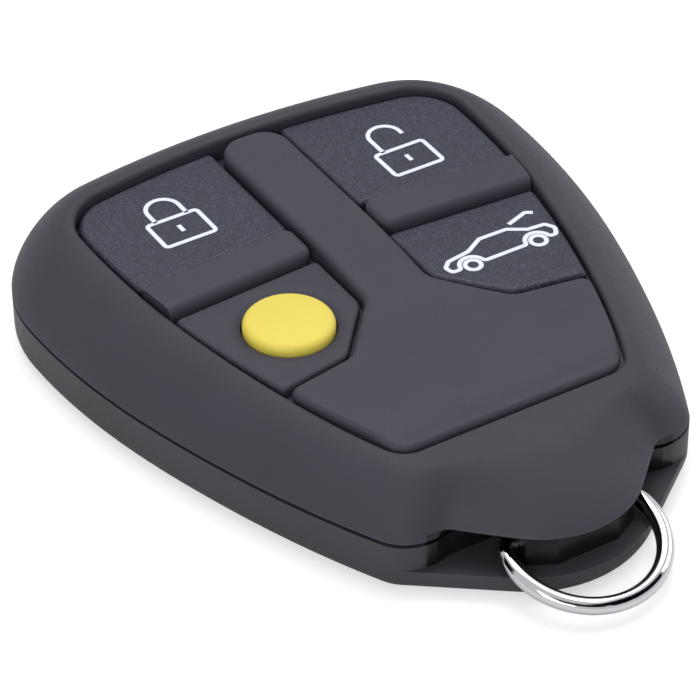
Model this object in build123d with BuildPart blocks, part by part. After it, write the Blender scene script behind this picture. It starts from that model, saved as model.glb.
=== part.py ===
from build123d import *
import os
from math import asin, atan2, cos, degrees, radians, sin, sqrt, tan

os.makedirs("parts", exist_ok=True)

# Car key fob. It lies on its rear cover with the keypad up. The key ring points to -Y, the wide end to +Y.
# Plan sizes are measured from the middle of the body, heights from the flat of the rear cover.

# Angles in degrees
right_angle = 90.0
crest_tilt_angle = 2.0

# Plan of the body at the parting line
body_width = 52.8
wide_along = 31.7
tail_along = -32.1
wide_end_radius = 95.0
wide_corner_radius = 14.0
side_across_share = 0.852
side_along = -5.7
side_angle = 16.0
hip_across_share = 0.58
hip_lift_share = 0.5812
hip_angle = 28.0
hip_radius = 4.0
waist_length = 0.8
waist_angle = 1.0
waist_radius = 1.5
flank_angle = 45.0
foot_angle = 37.0
foot_reach = 0.3

# Plan of the body at the crest of the keypad rim
crest_inset = 5.7
crest_corner_radius = 6.3
crest_tip_inset = 8.3
crest_hip_across_share = 0.462
crest_hip_lift = 3.85
crest_hip_angle = 24.0
crest_hip_radius = 4.0
crest_waist_length = 0.3
crest_waist_angle = 10.0
crest_waist_radius = 6.0
crest_flank_angle = 14.0

# Side profile of the front cover: a squarish curve from the parting line up to the crest
profile_power_share = 1.4
profile_shares = (0, 0.06, 0.18, 0.36, 0.58, 0.8, 1)

# Heights
parting_height = 5.2
tongue_lift = 0.5
lip_height = 2.4

# Rises above the top of the keypad frame
crest_rise = 2.2
front_button_rise = 1.5
rear_button_rise = 1.1
bar_rise = 2.0
ridge_rise = 2.15
plate_rise = 1.3

# Covers
floor_thickness = 1.4
bottom_round = 1.7
rear_wall = 2.4
front_wall = 1.7
roof_wall = 4.4
straight_wall_rise = 1.6
tray_end_inset = 8.8
tray_end_radius = 3.0
cover_gap = 0.1
gasket_thickness = 0.38
gasket_inset = 0.6
gasket_width = 1.1
gasket_end_inset = 7.5
locating_lip_rise = 0.6
locating_lip_end_inset = 14.1
lug_width = 5.0
lug_along = 8.0
lug_reach = 0.5
lug_rise = 0.4
lug_start = 0.15
lug_gap = 0.1
notch_width = 6.0
notch_height = 0.6
notch_depth = 1.6
rim_round = 0.4

# Neck that carries the key ring, in the recess under the front cover's tongue
recess_across_share = 0.465
recess_start_inset = 7.6
neck_shoulder_share = 0.375
neck_shoulder_inset = 7.1
neck_half_width = 5.3
neck_side_inset = 2.8
neck_end_half_width = 3.0
neck_end_inset = 1.5
neck_edge_inset = 6.45
neck_pad_inset = 6.1

# Key ring
ring_wire = 1.5
ring_radius = 6.77
ring_reach = 2.15
ring_bend_radius = 1.0
ring_pin_start = 2.0
ring_droop_angle = 13.0
hinge_inset = 4.4
hinge_lift = 0.6
hinge_gap = 0.06

# Keypad pocket in the front cover
pocket_side_inset = 6.6
pocket_top_inset = 6.6
pocket_corner_radius = 5.0
pocket_side_share = 0.622
pocket_side_along = -5.2
pocket_side_angle = 17.0
pocket_low_share = 0.445
pocket_low_lift = 5.4
pocket_low_angle = 25.0
pocket_low_radius = 2.6

# Keypad layout: the trim's ridge down the middle, two bars across, and two rows of buttons
cell_gap = 0.35
ridge_half_width = 3.2
row_angle = 3.8
bar_top_along = 10.6
bar_width = 4.0
chamfer_start_along = -1.25
chamfer_angle = 49.5
row_end_across = 8.25
row_end_along = -6.85
row_end_angle = 9.5
cell_corner_radius = 0.6
chamfer_corner_radius = 1.8
bar_corner_radius = 1.2
bar_cut = 0.5
ridge_end_radius = 2.6
ridge_drop_start = 9.0
ridge_drop_end = -7.5
plate_bend_lift = 3.4
plate_bend_drop = 0.55
upright_share = 0.5
trim_corner_radius = 1.0
button_edge_round = 0.5
surround_edge_round = 0.4
bar_edge_round = 0.8
trim_edge_round = 0.6
window_gap = 0.15
flange_reach = 0.6
flange_thickness = 0.6
flange_gap = 0.1

# Round light button
light_across_share = -0.389
light_along = -0.6
light_diameter = 8.0
light_rise = 0.45
light_crown_rise = 0.35
light_edge_round = 0.7
light_dish_diameter = 11.0
light_dish_depth = 0.4

# Frame, mat and trim pegs
frame_thickness = 0.9
frame_reach = 0.8
mat_lift = 1.1
mat_thickness = 0.5
mat_reach = 1.25
mat_rim_width = 0.8
peg_diameter = 1.6
peg_gap = 0.05
peg_along = 14.0
peg_low_across = 6.0
peg_low_share = 0.53

# Circuit board and what it carries
board_thickness = 0.8
board_inset = 3.0
board_end_inset = 9.0
board_end_radius = 2.6
switch_size = 4.2
switch_height = 0.7
switch_cover_thickness = 0.1
switch_wall = 0.5
switch_floor = 0.1
pin_diameter = 1.8
pin_foot_diameter = 2.4
pin_foot_height = 0.2
pin_foot_start = 0.45
pin_gap = 0.06
switch_across_share = 0.417
front_switch_share = 0.407
boot_switch_along = -1.0
controller_size = 6.0
controller_height = 1.2
controller_gap = 1.8
radio_size = 4.0
radio_height = 0.9
radio_across = 7.5
radio_gap = 4.8
crystal_length = 5.0
crystal_width = 3.2
crystal_height = 1.2
crystal_across = -8.0
crystal_gap = 4.7
antenna_inset = 3.6
antenna_width = 0.8
antenna_thickness = 0.1
antenna_end_along = 12.0
passive_length = 1.6
passive_width = 0.8
passive_height = 0.6
passive_pitch = 3.0
passive_rows = 3
passive_columns = 2
passive_gap = 2.8
post_diameter = 2.4
post_pin_diameter = 1.4
post_pin_rise = 0.3
post_pin_gap = 0.1
front_post_share = 0.644
front_post_inset = 16.2
rear_post_share = 0.4735
rear_post_along = -9.0

# Coin cell and its contacts
cell_diameter = 20.0
cell_height = 3.2
cell_cap_diameter = 17.6
cell_cap_height = 0.4
cell_edge_round = 0.3
cell_along = 3.0
clip_width = 6.0
clip_thickness = 0.25
clip_gap = 0.05
clip_cell_gap = 0.6
spring_size = 5.0
spring_thickness = 0.12
spring_finger_width = 1.6
cell_wall_gap = 0.2
cell_wall_thickness = 1.0
cell_wall_rise = 2.4
cell_wall_window = 8.0

# Worked out from the sizes above: places across and along the body
half_width = body_width / 2
body_length = wide_along - tail_along
side_across = side_across_share * half_width
hip_across = hip_across_share * half_width
hip_along = tail_along + hip_lift_share * hip_across
crest_tip_along = tail_along + crest_tip_inset
crest_hip_across = crest_hip_across_share * half_width
crest_hip_along = crest_tip_along + crest_hip_lift
tray_end_along = tail_along + tray_end_inset
gasket_end_along = tail_along + gasket_end_inset
board_end_along = tail_along + board_end_inset
recess_half_width = recess_across_share * half_width
recess_start_along = tail_along + recess_start_inset
hinge_along = tail_along + hinge_inset
pocket_top_along = wide_along - pocket_top_inset
pocket_low_across = pocket_low_share * half_width
pocket_low_along = crest_tip_along + pocket_low_lift
light_across = light_across_share * half_width
switch_across = switch_across_share * half_width
front_switch_along = bar_top_along + front_switch_share * (pocket_top_along - bar_top_along)
peg_low_along = row_end_along + peg_low_share * (pocket_low_along - row_end_along)
cell_well_end = cell_along - cell_diameter / 2 - cell_wall_gap - cell_wall_thickness

# Worked out from the sizes above: heights, from the floor up through the cell, the board and the keypad
hinge_height = lip_height + ring_wire / 2 + hinge_lift
ring_end_along = hinge_along - (ring_reach + ring_radius) * cos(radians(ring_droop_angle)) - ring_wire / 2
datum_along = -(wide_along + ring_end_along) / 2
cell_floor = floor_thickness + clip_gap + clip_thickness
cell_top = cell_floor + cell_height
board_bottom = cell_top + cell_cap_height
board_top = board_bottom + board_thickness
mat_bottom = board_top + mat_lift
mat_top = mat_bottom + mat_thickness
flange_top = mat_top + flange_thickness
frame_bottom = flange_top + flange_gap
roof_height = frame_bottom + frame_thickness
crest_height = roof_height + crest_rise
front_button_height = roof_height + front_button_rise
rear_button_height = roof_height + rear_button_rise
bar_height = roof_height + bar_rise
ridge_height = roof_height + ridge_rise
plate_height = roof_height + plate_rise
tongue_height = parting_height + tongue_lift
straight_wall_height = parting_height + straight_wall_rise
rear_top = parting_height - gasket_thickness

# Worked out from the sizes above: what stands in several places
post_places = [(hand * front_post_share * half_width, wide_along - front_post_inset) for hand in (-1, 1)]
post_places += [(hand * rear_post_share * half_width, rear_post_along) for hand in (-1, 1)]
peg_places = [(0, peg_along), (-peg_low_across, peg_low_along), (peg_low_across, peg_low_along)]
switch_places = (("lock", -switch_across, front_switch_along),
                 ("unlock", switch_across, front_switch_along),
                 ("light", light_across, light_along),
                 ("boot", switch_across, boot_switch_along))


def finish(piece, node):
    piece.part.label = node
    export_step(piece.part, "parts/" + node + ".step")


# Solid with the edges of its top face rounded
def round_top(solid, radius):
    return fillet(solid.edges().group_by(Axis.Z)[-1], radius)


# Horizontal plane at a height, with its origin under the middle of the body
def level(height):
    return Plane((0, datum_along, height))


def mix(low, high, share):
    return low + (high - low) * share


# Plane of the front cover's outline at a share of the way up: the crest tilts down to the tail
def rim_plane(share):
    fall = (1 - share) ** profile_power_share
    rise_share = (1 - fall) ** (1 / profile_power_share)
    tilt = radians(crest_tilt_angle * rise_share)
    middle_height = crest_height - (wide_along - crest_inset) * tan(radians(crest_tilt_angle))
    height = mix(parting_height, middle_height, rise_share)
    return Plane((0, datum_along, height), x_dir=(1, 0, 0), z_dir=(0, -sin(tilt), cos(tilt)))


# Turn of an arc across the wide end before its corner arc begins
def shoulder_turn(half_width, end_radius, corner_radius):
    return degrees(asin((half_width - corner_radius) / (end_radius - corner_radius)))


# The wide end and one side of the body, at a share of the way from the parting line (0) to the crest (1)
def body_side(share):
    inset = mix(0, crest_inset, share)
    end_radius = wide_end_radius - inset
    corner_radius = mix(wide_corner_radius, crest_corner_radius, share)
    turn = shoulder_turn(half_width - inset, end_radius, corner_radius)
    base_turn = radians(shoulder_turn(half_width, wide_end_radius, wide_corner_radius))
    shoulder_along = wide_along - wide_end_radius + (wide_end_radius - wide_corner_radius) * cos(base_turn)
    across_share = (half_width - side_across) / (half_width - hip_across)
    along_share = (shoulder_along - side_along) / (shoulder_along - hip_along)
    hip = Vector(mix(hip_across, crest_hip_across, share), mix(hip_along, crest_hip_along, share))
    lean = radians(mix(hip_angle, crest_hip_angle, share))
    end = JernArc((0, wide_along - inset), (1, 0), end_radius, -turn)
    corner = JernArc(end @ 1, end % 1, corner_radius, turn - right_angle)
    start = corner @ 1
    middle = (mix(start.X, hip.X, across_share), mix(start.Y, hip.Y, along_share))
    return Spline(start, middle, hip, tangents=((0, -1), (-sin(lean), -cos(lean))))


# A straight flank and a round tip that close the tail, solved so that the tip ends on the middle line
def close_tail(base, heading, lean, tip_along):
    across = abs(heading.X)
    along = abs(heading.Y)
    rise = 1 - cos(radians(lean))
    reach = sin(radians(lean))
    drop = base.Y - tip_along
    scale = across * rise - reach * along
    flank_length = (base.X * rise - reach * drop) / scale
    tip_radius = (across * drop - along * base.X) / scale
    flank = Line(base, base + flank_length * heading)
    JernArc(flank @ 1, flank % 1, tip_radius, -lean)
    mirror(about=Plane.YZ)


# Outline of the body, from the parting line (share 0) to the crest of the rim (share 1)
def body_outline(share):
    lean = mix(hip_angle, crest_hip_angle, share)
    waist_lean = mix(waist_angle, crest_waist_angle, share)
    flank_lean = mix(flank_angle, crest_flank_angle, share)
    with BuildLine() as line:
        side = body_side(share)
        hip_turn = waist_lean + lean - right_angle
        hip_arc = JernArc(side @ 1, side % 1, mix(hip_radius, crest_hip_radius, share), hip_turn)
        waist_end = hip_arc @ 1 + mix(waist_length, crest_waist_length, share) * (hip_arc % 1)
        waist = Line(hip_arc @ 1, waist_end)
        bend_radius = mix(waist_radius, crest_waist_radius, share)
        bend = JernArc(waist @ 1, waist % 1, bend_radius, flank_lean - waist_lean)
        close_tail(bend @ 1, bend % 1, flank_lean, mix(tail_along, crest_tip_along, share))
    return line.line


# Outline of the rear cover's foot: its flanks run straight from the hips to the lip under the key ring
def foot_outline():
    with BuildLine() as line:
        side = body_side(0)
        hip_arc = JernArc(side @ 1, side % 1, hip_radius, foot_angle + hip_angle - right_angle)
        close_tail(hip_arc @ 1, hip_arc % 1, foot_angle, tail_along - foot_reach)
    return line.line


# Outline shaped like a cup: an arc across the wide end, two tapering sides and a straight end at the tail
def cup_outline(half_width, top_along, top_radius, corner_radius, side, low, low_angle, low_radius):
    turn = shoulder_turn(half_width, top_radius, corner_radius)
    with BuildLine() as line:
        top = JernArc((0, top_along), (1, 0), top_radius, -turn)
        corner = JernArc(top @ 1, top % 1, corner_radius, turn - right_angle)
        low_heading = (-sin(radians(low_angle)), -cos(radians(low_angle)))
        flank = Spline(corner @ 1, side, low, tangents=((0, -1), low_heading))
        end = JernArc(flank @ 1, flank % 1, low_radius, low_angle - right_angle)
        Line(end @ 1, (0, (end @ 1).Y))
        mirror(about=Plane.YZ)
    return line.line


# Inner outline that follows the body's sides at an inset and ends square before the tail
def inner_outline(inset, end_along, end_radius):
    side_lean = radians(side_angle)
    lean = radians(hip_angle)
    side = (side_across - inset * cos(side_lean), side_along + inset * sin(side_lean))
    low_along = end_along + end_radius * (1 - sin(lean))
    hip = (hip_across - inset * cos(lean), hip_along + inset * sin(lean))
    low = (hip[0] + (low_along - hip[1]) * tan(lean), low_along)
    return cup_outline(half_width - inset, wide_along - inset, wide_end_radius - inset,
                       wide_corner_radius - inset, side, low, hip_angle, end_radius)


# Outline of the keypad pocket, or one that keeps an even distance inside it
def pocket_outline(inset):
    side_lean = radians(pocket_side_angle)
    lean = radians(pocket_low_angle)
    top_radius = wide_end_radius - pocket_top_inset
    side_start = pocket_side_share * half_width
    side = (side_start - inset * cos(side_lean), pocket_side_along + inset * sin(side_lean))
    low = (pocket_low_across - inset * cos(lean), pocket_low_along + inset * sin(lean))
    return cup_outline(half_width - pocket_side_inset - inset, pocket_top_along - inset, top_radius - inset,
                       pocket_corner_radius - inset, side, low, pocket_low_angle, pocket_low_radius - inset)


# Places along the sloping line of a row, as a distance along the body at a distance across it
def row_line(along, across):
    return along - across * tan(radians(row_angle))


# The two inner corners of a second-row cell that has grown on every side
def chamfer_corners(grow):
    lean = radians(chamfer_angle)
    end_lean = radians(row_end_angle)
    inner = ridge_half_width + cell_gap
    start = (inner - grow * sin(lean), chamfer_start_along - grow * cos(lean))
    end = (row_end_across - grow * sin(end_lean), row_end_along - grow * cos(end_lean))
    upper = (inner - grow, start[1] - (inner - grow - start[0]) * tan(lean))
    drop = start[1] - end[1] + start[0] * tan(lean) - end[0] * tan(end_lean)
    across = drop / (tan(lean) - tan(end_lean))
    lower = (across, end[1] - (across - end[0]) * tan(end_lean))
    return upper, lower


# Where a second-row cell's lower edge would reach the side of the body, from its lower inner corner
def row_end(lower):
    return lower[1] - (half_width - lower[0]) * tan(radians(row_end_angle))


# Cell of a lock or unlock button; hand is -1 for the left side and 1 for the right
def front_cell(hand, height, grow):
    inner = ridge_half_width + cell_gap - grow
    base = bar_top_along + cell_gap - grow
    with BuildSketch(level(height)) as cell:
        make_face(pocket_outline(cell_gap - grow))
        with BuildLine():
            Polyline((hand * inner, row_line(base, inner)), (hand * half_width, row_line(base, half_width)),
                     (hand * half_width, wide_along), (hand * inner, wide_along), close=True)
        make_face(mode=Mode.INTERSECT)
        corners = cell.vertices().sort_by_distance((hand * inner, row_line(base, inner)))[0:1]
        corners += cell.vertices().sort_by_distance((hand * inner, wide_along))[0:1]
        corners += cell.vertices().sort_by_distance((hand * half_width, row_line(base, half_width)))[0:1]
        fillet(corners, cell_corner_radius + max(grow, 0))
    return cell.sketch


# Cell of the second row, with its inner corner cut off by the trim's flare
def rear_cell(hand, height, grow):
    inner = ridge_half_width + cell_gap - grow
    top = bar_top_along - bar_width - cell_gap + grow
    upper, lower = chamfer_corners(grow)
    end_along = row_end(lower)
    with BuildSketch(level(height)) as cell:
        make_face(pocket_outline(cell_gap - grow))
        with BuildLine():
            Polyline((hand * inner, row_line(top, inner)), (hand * half_width, row_line(top, half_width)),
                     (hand * half_width, end_along), (hand * lower[0], lower[1]),
                     (hand * upper[0], upper[1]), close=True)
        make_face(mode=Mode.INTERSECT)
        corners = cell.vertices().sort_by_distance((hand * inner, row_line(top, inner)))[0:1]
        corners += cell.vertices().sort_by_distance((hand * half_width, row_line(top, half_width)))[0:1]
        corners += cell.vertices().sort_by_distance((hand * half_width, end_along))[0:1]
        fillet(corners, cell_corner_radius + max(grow, 0))
        for across, along in (upper, lower):
            bend = cell.vertices().sort_by_distance((hand * across, along))[0]
            fillet(bend, chamfer_corner_radius + grow)
    return cell.sketch


# Bar between the two rows on one side of the ridge, which can grow towards the wide end
def bar_cell(hand, grow):
    inner = ridge_half_width + cell_gap
    top = bar_top_along + grow
    low = bar_top_along - bar_width
    with BuildSketch(level(roof_height)) as cell:
        with BuildLine():
            Polyline((hand * inner, row_line(top, inner)), (hand * half_width, row_line(top, half_width)),
                     (hand * half_width, row_line(low, half_width)), (hand * inner, row_line(low, inner)),
                     close=True)
        make_face()
        for along in (top, low):
            end = cell.vertices().sort_by_distance((hand * inner, row_line(along, inner)))[0]
            fillet(end, bar_corner_radius)
    return cell.sketch


# The bar's block: rounded on top, then cut to its cell, so that its far edge and outer end stay sharp
def bar_block(hand):
    height = bar_height - roof_height
    block = round_top(extrude(bar_cell(hand, bar_cut), amount=height), bar_edge_round)
    with BuildSketch(level(roof_height)) as pocket:
        make_face(pocket_outline(cell_gap))
    return block & extrude(bar_cell(hand, 0), amount=height) & extrude(pocket.sketch, amount=height)


# Outline of the neck between the two covers' tails
def neck_face():
    with BuildSketch(level(0)) as neck:
        with BuildLine():
            end = tail_along + neck_end_inset
            shoulder = tail_along + neck_shoulder_inset
            Polyline((0, end), (neck_end_half_width, end), (neck_half_width, tail_along + neck_side_inset),
                     (neck_half_width, shoulder), (neck_shoulder_share * half_width, shoulder),
                     (recess_half_width, tail_along + neck_edge_inset),
                     (recess_half_width, recess_start_along), (0, recess_start_along))
            mirror(about=Plane.YZ)
        make_face()
    return neck.sketch_local


# Space under the tongue, round the neck
def recess_sketch(height):
    with BuildSketch(level(height)) as recess:
        with Locations((0, recess_start_along)):
            Rectangle(2 * recess_half_width, body_length / 2, align=(Align.CENTER, Align.MAX))
        add(neck_face(), mode=Mode.SUBTRACT)
    return recess.sketch


# Bands that the snap lugs and their slots cut from the wall
def lug_sketch(height, outer_inset, inner_inset, width):
    with BuildSketch(level(height)) as lugs:
        make_face(inner_outline(outer_inset, tray_end_along, tray_end_radius))
        make_face(inner_outline(inner_inset, tray_end_along, tray_end_radius), mode=Mode.SUBTRACT)
        with BuildSketch(mode=Mode.INTERSECT):
            with Locations((-half_width, lug_along), (half_width, lug_along)):
                Rectangle(half_width, width)
            with Locations((0, wide_along)):
                Rectangle(width, half_width)
    return lugs.sketch


# Front cover: lofted from the parting line to the crest, hollow, with the keypad pocket through its top
with BuildPart() as front_cover:
    for share in profile_shares:
        with BuildSketch(rim_plane(share)):
            make_face(body_outline(share))
    loft()
    with BuildSketch(level(parting_height)):
        make_face(inner_outline(front_wall, tray_end_along, tray_end_radius))
    extrude(amount=straight_wall_height - parting_height, mode=Mode.SUBTRACT)
    for height, wall in ((straight_wall_height, front_wall), (roof_height, roof_wall)):
        with BuildSketch(level(height)):
            make_face(inner_outline(wall, tray_end_along, tray_end_radius))
    loft(mode=Mode.SUBTRACT)
    with BuildSketch(level(roof_height)):
        make_face(pocket_outline(0))
    extrude(amount=crest_height - roof_height, mode=Mode.SUBTRACT)
    fillet(front_cover.faces().sort_by(Axis.Z)[-1].inner_wires()[0].edges(), rim_round)
    add(extrude(recess_sketch(parting_height), amount=tongue_height - parting_height, mode=Mode.PRIVATE),
        mode=Mode.SUBTRACT)
    slots = lug_sketch(parting_height + lug_start - lug_gap, front_wall + cover_gap - lug_reach - lug_gap,
                       front_wall + cover_gap, lug_width + 2 * lug_gap)
    add(extrude(slots, amount=lug_rise + 2 * lug_gap, mode=Mode.PRIVATE), mode=Mode.SUBTRACT)
finish(front_cover, "front_cover")

# Rear cover: a tray with a locating lip, snap lugs, board posts, a cell wall and the neck for the key ring
with BuildPart() as rear_cover:
    with BuildSketch(level(0)):
        make_face(foot_outline())
    extrude(amount=lip_height)
    fillet(rear_cover.edges().group_by(Axis.Z)[0], bottom_round)
    with BuildSketch(level(lip_height)):
        make_face(body_outline(0))
    extrude(amount=rear_top - lip_height)
    with BuildSketch(level(floor_thickness)):
        make_face(inner_outline(rear_wall, tray_end_along, tray_end_radius))
    extrude(amount=parting_height, mode=Mode.SUBTRACT)
    with BuildSketch(level(rear_top)):
        make_face(inner_outline(front_wall + cover_gap, tray_end_along, tray_end_radius))
        make_face(inner_outline(rear_wall, tray_end_along, tray_end_radius), mode=Mode.SUBTRACT)
        with Locations((0, tail_along + locating_lip_end_inset)):
            Rectangle(body_width, body_length, align=(Align.CENTER, Align.MIN), mode=Mode.INTERSECT)
    extrude(amount=gasket_thickness + locating_lip_rise)
    lugs = lug_sketch(parting_height + lug_start, front_wall + cover_gap - lug_reach,
                      front_wall + cover_gap, lug_width)
    add(extrude(lugs, amount=lug_rise, mode=Mode.PRIVATE))
    add(extrude(recess_sketch(lip_height), amount=parting_height, mode=Mode.PRIVATE), mode=Mode.SUBTRACT)
    with BuildSketch(level(rear_top)):
        with Locations((0, tail_along + neck_pad_inset)):
            Rectangle(2 * neck_half_width, body_length / 2, align=(Align.CENTER, Align.MAX))
        add(neck_face(), mode=Mode.INTERSECT)
    extrude(amount=parting_height - rear_top)
    bore_start = Plane((-neck_half_width, datum_along + hinge_along, hinge_height), z_dir=(1, 0, 0))
    with BuildSketch(bore_start):
        Circle(ring_wire / 2 + hinge_gap)
    extrude(amount=2 * neck_half_width, mode=Mode.SUBTRACT)
    with BuildSketch(level(0)):
        with Locations((0, tail_along - foot_reach)):
            Rectangle(notch_width, 2 * notch_depth)
    extrude(amount=notch_height, mode=Mode.SUBTRACT)
    with BuildSketch(level(floor_thickness)):
        for across, along in post_places:
            with Locations((across, along)):
                Circle(post_diameter / 2)
    extrude(amount=board_bottom - floor_thickness)
    with BuildSketch(level(board_bottom)):
        for across, along in post_places:
            with Locations((across, along)):
                Circle(post_pin_diameter / 2)
    extrude(amount=board_thickness + post_pin_rise)
    with BuildSketch(level(floor_thickness)):
        with Locations((0, cell_along)):
            Circle(cell_diameter / 2 + cell_wall_gap + cell_wall_thickness)
            Circle(cell_diameter / 2 + cell_wall_gap, mode=Mode.SUBTRACT)
            Rectangle(2 * cell_diameter, cell_wall_window, mode=Mode.SUBTRACT)
    extrude(amount=cell_wall_rise)
finish(rear_cover, "rear_cover")

# Soft seal in the parting groove, with its outer edge set in from the two covers
with BuildPart() as sealing_gasket:
    hole_inset = gasket_inset + gasket_width
    hole_end_along = gasket_end_along + gasket_width
    with BuildSketch(level(rear_top)):
        make_face(inner_outline(gasket_inset, gasket_end_along, tray_end_radius))
        make_face(inner_outline(hole_inset, hole_end_along, tray_end_radius), mode=Mode.SUBTRACT)
    extrude(amount=gasket_thickness)
finish(sealing_gasket, "sealing_gasket")

# Upright plane and axis through the middle of the light button
light_plane = Plane((light_across, datum_along + light_along, 0), x_dir=(1, 0, 0), z_dir=(0, -1, 0))
light_axis = Axis((light_across, datum_along + light_along, 0), (0, 0, 1))

# Keypad frame: a plate under the front cover's roof, with the two bars and the light button's surround
surround = extrude(rear_cell(-1, roof_height, 0), amount=rear_button_height - roof_height)
raised = [bar_block(-1), bar_block(1), round_top(surround, surround_edge_round)]
with BuildPart() as keypad_frame:
    with BuildSketch(level(frame_bottom)):
        make_face(pocket_outline(-frame_reach))
    extrude(amount=frame_thickness)
    add(raised)
    with BuildSketch(light_plane):
        with BuildLine():
            dish_floor = rear_button_height - light_dish_depth
            dish_radius = light_dish_diameter / 2
            dish = TangentArc((dish_radius, rear_button_height),
                              (light_diameter / 2 + window_gap, dish_floor), tangent=(-1, 0))
            Polyline(dish @ 1, (0, dish_floor), (0, bar_height), (dish_radius, bar_height), dish @ 0)
        make_face()
    revolve(axis=light_axis, mode=Mode.SUBTRACT)
    for cell in (front_cell(-1, frame_bottom, window_gap), front_cell(1, frame_bottom, window_gap),
                 rear_cell(1, frame_bottom, window_gap)):
        add(extrude(cell, amount=frame_thickness, mode=Mode.PRIVATE), mode=Mode.SUBTRACT)
    with BuildSketch(level(frame_bottom)):
        with Locations((light_across, light_along)):
            Circle(light_diameter / 2 + window_gap)
        with Locations(*peg_places):
            Circle(peg_diameter / 2 + peg_gap)
    extrude(amount=crest_height, mode=Mode.SUBTRACT)
finish(keypad_frame, "keypad_frame")

# Trim: the ridge between the buttons and the plate towards the tail, in one piece with three pegs
with BuildPart() as centre_trim:
    with BuildSketch(level(roof_height)) as trim_sketch:
        make_face(pocket_outline(cell_gap))
        upper, lower = chamfer_corners(cell_gap)
        end_along = row_end(lower)
        for hand in (-1, 1):
            with BuildLine():
                Polyline((hand * upper[0], wide_along), (hand * half_width, wide_along),
                         (hand * half_width, end_along), (hand * lower[0], lower[1]),
                         (hand * upper[0], upper[1]), close=True)
            make_face(mode=Mode.SUBTRACT)
        fillet(trim_sketch.vertices().group_by(Axis.Y)[-1], ridge_end_radius)
        for hand in (-1, 1):
            shoulder = trim_sketch.vertices().sort_by_distance((hand * half_width, end_along))[0]
            fillet(shoulder, trim_corner_radius)
            for across, along in (upper, lower):
                bend = trim_sketch.vertices().sort_by_distance((hand * across, along))[0]
                fillet(bend, chamfer_corner_radius + cell_gap)
    extrude(amount=ridge_height - roof_height)
    # The top runs down from the ridge to the plate, and bends down again at the tail
    with BuildSketch(Plane((0, datum_along, 0), x_dir=(0, 1, 0), z_dir=(1, 0, 0))):
        with BuildLine():
            bend_along = pocket_low_along + plate_bend_lift
            fall = Spline((ridge_drop_start, ridge_height), (ridge_drop_end, plate_height),
                          tangents=((-1, 0), (-1, 0)))
            flat = Line(fall @ 1, (bend_along, plate_height))
            bow = TangentArc(flat @ 1, (pocket_low_along, plate_height - plate_bend_drop), tangent=(-1, 0))
            Polyline(bow @ 1, (tail_along, plate_height - plate_bend_drop), (tail_along, crest_height),
                     (ridge_drop_start, crest_height), fall @ 0)
        make_face()
    extrude(amount=half_width, both=True, mode=Mode.SUBTRACT)
    upper_faces = centre_trim.faces().filter_by(lambda face: face.normal_at().Z > upright_share)
    side_faces = centre_trim.faces().filter_by(lambda face: abs(face.normal_at().Z) < upright_share)
    fillet([edge for edge in upper_faces.edges() if edge in side_faces.edges()], trim_edge_round)
    with BuildSketch(level(roof_height)):
        with Locations(*peg_places):
            Circle(peg_diameter / 2)
    extrude(amount=-frame_thickness)
finish(centre_trim, "centre_trim")

# Lock, unlock and boot buttons: a cap through the frame's window, with a flange under the frame
button_cells = (("lock_button", front_cell, -1, front_button_height),
                ("unlock_button", front_cell, 1, front_button_height),
                ("boot_button", rear_cell, 1, rear_button_height))
for node, cell, hand, cap_height in button_cells:
    cap = round_top(extrude(cell(hand, flange_top, 0), amount=cap_height - flange_top), button_edge_round)
    flange = extrude(cell(hand, mat_top, flange_reach), amount=flange_thickness)
    with BuildPart() as button:
        add([cap, flange])
    finish(button, node)

# Light button: a low dome on a round stem and flange
with BuildPart() as light_button:
    shoulder_height = rear_button_height + light_rise
    radius = light_diameter / 2
    with BuildSketch(light_plane) as dome_sketch:
        with BuildLine():
            crown_top = (0, shoulder_height + light_crown_rise)
            crown = TangentArc(crown_top, (radius, shoulder_height), tangent=(1, 0))
            Polyline(crown @ 1, (radius, flange_top), (radius + flange_reach, flange_top),
                     (radius + flange_reach, mat_top), (0, mat_top), crown @ 0)
        make_face()
        fillet(dome_sketch.vertices().sort_by_distance((radius, shoulder_height))[0], light_edge_round)
    revolve(axis=light_axis)
finish(light_button, "light_button")

# Rubber mat under the buttons: it stands on the board by its skirt and presses the frame up by its rim
with BuildPart() as keypad_mat:
    with BuildSketch(level(mat_bottom)):
        make_face(pocket_outline(-mat_reach))
    extrude(amount=mat_thickness)
    with BuildSketch(level(board_top)):
        make_face(pocket_outline(-mat_reach))
        make_face(pocket_outline(mat_rim_width - mat_reach), mode=Mode.SUBTRACT)
    extrude(amount=frame_bottom - board_top)
finish(keypad_mat, "keypad_mat")

# Circuit board on the four posts
with BuildPart() as circuit_board:
    with BuildSketch(level(board_bottom)):
        make_face(inner_outline(board_inset, board_end_along, board_end_radius))
        for across, along in post_places:
            with Locations((across, along)):
                Circle(post_pin_diameter / 2 + post_pin_gap, mode=Mode.SUBTRACT)
    extrude(amount=board_thickness)
finish(circuit_board, "circuit_board")

# One press switch under each button: an open square base and a stepped pin that its button pushes down
for node, across, along in switch_places:
    with BuildPart() as switch:
        with BuildSketch(level(board_top)):
            with Locations((across, along)):
                Rectangle(switch_size, switch_size)
        extrude(amount=switch_height)
        with BuildSketch(level(board_top + switch_floor)):
            with Locations((across, along)):
                Circle(switch_size / 2 - switch_wall)
        extrude(amount=switch_height, mode=Mode.SUBTRACT)
    finish(switch, node + "_switch")
    with BuildPart() as actuator:
        with BuildSketch(level(board_top + pin_foot_start)):
            with Locations((across, along)):
                Circle(pin_foot_diameter / 2)
        extrude(amount=pin_foot_height)
        with BuildSketch(level(board_top + pin_foot_start)):
            with Locations((across, along)):
                Circle(pin_diameter / 2)
        extrude(amount=mat_bottom - board_top - pin_foot_start)
    finish(actuator, node + "_actuator")

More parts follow.
